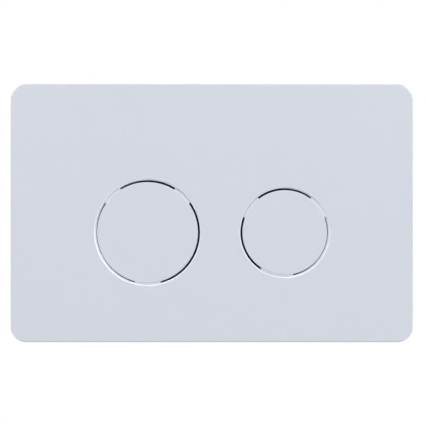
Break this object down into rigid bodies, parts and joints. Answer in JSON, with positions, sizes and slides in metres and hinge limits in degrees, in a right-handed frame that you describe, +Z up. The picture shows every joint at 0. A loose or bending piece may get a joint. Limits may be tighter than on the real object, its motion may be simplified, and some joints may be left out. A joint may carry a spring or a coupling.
{
  "type": "flush button plate",
  "caption": "Rectangular gloss plastic flush plate with a larger and a smaller round push button, guided, sprung and linked by push rods to a concealed cistern's flush valve.",
  "frame": {"origin": "centre of the plate's outline, on the wall plane that the mounting frame rests on", "axes": "+X to the right seen from the front, +Y into the wall, +Z up; the face looks along -Y"},
  "size_m": [0.246, 0.103, 0.158],
  "materials": {
    "gloss_white_plastic": "smooth gloss, cool white",
    "dark_plastic": "matt moulded, charcoal",
    "grey_plastic": "matt moulded, grey",
    "natural_plastic": "satin, natural uncoloured plastic",
    "spring_steel": "drawn wire and stamped strip",
    "zinc_steel": "zinc plated",
    "black_rubber": "matt rubber"
  },
  "bodies": {
    "plate": {"cover_plate": "gloss_white_plastic", "full_flush_carrier": "dark_plastic", "half_flush_carrier": "dark_plastic", "carrier_screws": "zinc_steel", "mounting_frame": "grey_plastic", "fixing_bolts": "natural_plastic", "fixing_washers": "natural_plastic", "cover_buffers": "black_rubber", "full_flush_spring": "spring_steel", "half_flush_spring": "spring_steel"},
    "full_flush": {"full_flush_button": "gloss_white_plastic", "full_flush_plunger": "natural_plastic", "full_flush_retaining_clip": "spring_steel", "full_flush_push_rod": "natural_plastic", "full_flush_lock_nut": "natural_plastic"},
    "half_flush": {"half_flush_button": "gloss_white_plastic", "half_flush_plunger": "natural_plastic", "half_flush_retaining_clip": "spring_steel", "half_flush_push_rod": "natural_plastic", "half_flush_lock_nut": "natural_plastic"}
  },
  "joints": [
    {"name": "full_flush_press", "type": "slide", "parent": "plate", "child": "full_flush", "axis": [0, 1, 0], "range_m": [0, 0.006], "stiffness_N_per_m": 800, "springref_m": -0.004, "deforming": ["full_flush_spring"]},
    {"name": "half_flush_press", "type": "slide", "parent": "plate", "child": "half_flush", "axis": [0, 1, 0], "range_m": [0, 0.006], "stiffness_N_per_m": 800, "springref_m": -0.004, "deforming": ["half_flush_spring"]}
  ]
}
